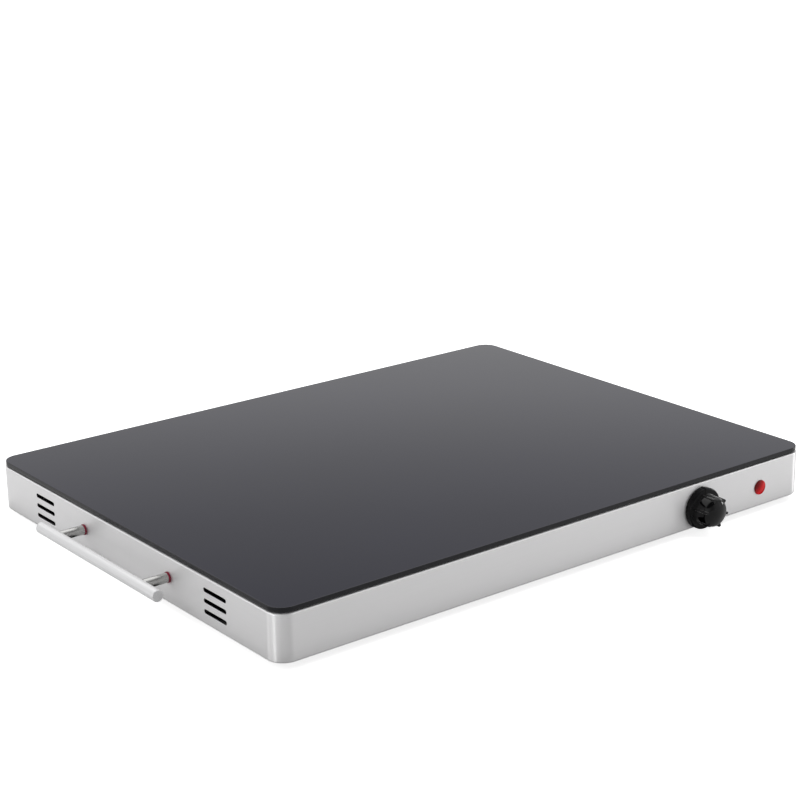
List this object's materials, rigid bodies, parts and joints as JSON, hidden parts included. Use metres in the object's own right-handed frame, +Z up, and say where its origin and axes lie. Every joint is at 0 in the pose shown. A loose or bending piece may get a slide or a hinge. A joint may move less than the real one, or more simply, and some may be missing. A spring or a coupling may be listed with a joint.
{
  "type": "electric food warmer tray",
  "caption": "Flat electric warming tray: black glass top on a low brushed steel band with bar handles on its short sides, a thermostat knob and an indicator lamp.",
  "frame": {"origin": "on the table under the middle of the whole tray, knob and inlet included", "axes": "+X to the right along the long side, +Y to the back, +Z up; the knob is on the -Y side"},
  "size_m": [0.6094, 0.447, 0.0496],
  "materials": {
    "band_steel": "fine brushed along the band",
    "black_glass": "polished opaque black tempered glass",
    "black_silicone": "matte",
    "zinc_steel": "satin galvanised sheet",
    "rubber": "matte moulded",
    "bar_steel": "fine satin",
    "post_steel": "bright turned",
    "red_silicone": "satin",
    "screw_steel": "zinc plated",
    "knob_plastic": "high gloss phenolic",
    "spring_steel": "plain",
    "brass": "turned",
    "ceramic": "glazed steatite",
    "copper_alloy": "rolled strip",
    "silver": "contact silver",
    "red_lens": "clear red moulded",
    "lamp_glass": "clear glass",
    "black_plastic": "fine textured",
    "aluminium": "mill finish",
    "mica": "pressed mica sheet",
    "heater_alloy": "rolled strip",
    "fibre": "soft white fibre",
    "brown_sleeve": "satin",
    "blue_sleeve": "satin",
    "green_sleeve": "satin",
    "white_sleeve": "braided glass sleeve",
    "bimetal": "rolled bimetal"
  },
  "bodies": {
    "tray": {"casing_band": "band_steel", "glass_top": "black_glass", "glass_seal": "black_silicone", "base_plate": "zinc_steel", "base_screws": "screw_steel", "rubber_feet": "rubber", "feet_screws": "screw_steel", "small_nuts": "screw_steel", "handle_bar_left": "bar_steel", "handle_bar_right": "bar_steel", "handle_posts": "post_steel", "handle_washers": "red_silicone", "handle_backing_washers": "screw_steel", "handle_screws": "screw_steel", "thermostat_bush": "brass", "thermostat_nut": "screw_steel", "thermostat_frame": "zinc_steel", "thermostat_insulators": "ceramic", "thermostat_rivet": "screw_steel", "contact_leaf_root": "copper_alloy", "fixed_contact": "silver", "fixed_contact_strip": "copper_alloy", "bimetal_blade": "bimetal", "indicator_lens": "red_lens", "lens_ring": "black_plastic", "neon_lamp": "lamp_glass", "lamp_plug": "black_plastic", "spreader_plate": "aluminium", "mica_sheets": "mica", "heating_ribbon": "heater_alloy", "heater_terminals": "screw_steel", "terminal_bushes": "ceramic", "insulation_mat": "fibre", "heat_shield": "zinc_steel", "heater_standoffs": "zinc_steel", "standoff_screws": "screw_steel", "thermal_cutout": "black_plastic", "cutout_strap": "zinc_steel", "cutout_screws": "screw_steel", "terminal_block": "ceramic", "terminal_block_screws": "brass", "power_inlet": "black_plastic", "inlet_pins": "brass", "inlet_screws": "screw_steel", "earth_tag": "brass", "earth_screw": "brass", "lead_clips": "black_plastic", "lead_clip_screws": "screw_steel", "live_leads": "brown_sleeve", "neutral_lead": "blue_sleeve", "earth_lead": "green_sleeve", "heater_leads": "white_sleeve", "lamp_leads": "white_sleeve"},
    "knob": {"control_knob": "knob_plastic", "knob_spring_clip": "spring_steel", "thermostat_shaft": "screw_steel"},
    "adjuster": {"adjuster_pin": "ceramic"},
    "contact_arm": {"contact_leaf": "copper_alloy", "moving_contact": "silver"}
  },
  "joints": [
    {"name": "knob_turn", "type": "hinge", "parent": "tray", "child": "knob", "pos_m": [0.148, -0.20075, 0.0239], "axis": [0, 1, 0], "range_deg": [0, 300]},
    {"name": "adjuster_slide", "type": "slide", "parent": "tray", "child": "adjuster", "axis": [0, 1, 0], "range_m": [0, 0.0005]},
    {"name": "contact_leaf_bend", "type": "hinge", "parent": "tray", "child": "contact_arm", "pos_m": [0.1366, -0.1906, 0.0239], "axis": [0, 0, 1], "range_deg": [0, 2.4]}
  ],
  "couplings": [
    {"joint": "adjuster_slide", "follows": "knob_turn", "m_per_rad": 0.000095397},
    {"joint": "contact_leaf_bend", "follows": "knob_turn", "ratio": 0.007992}
  ]
}
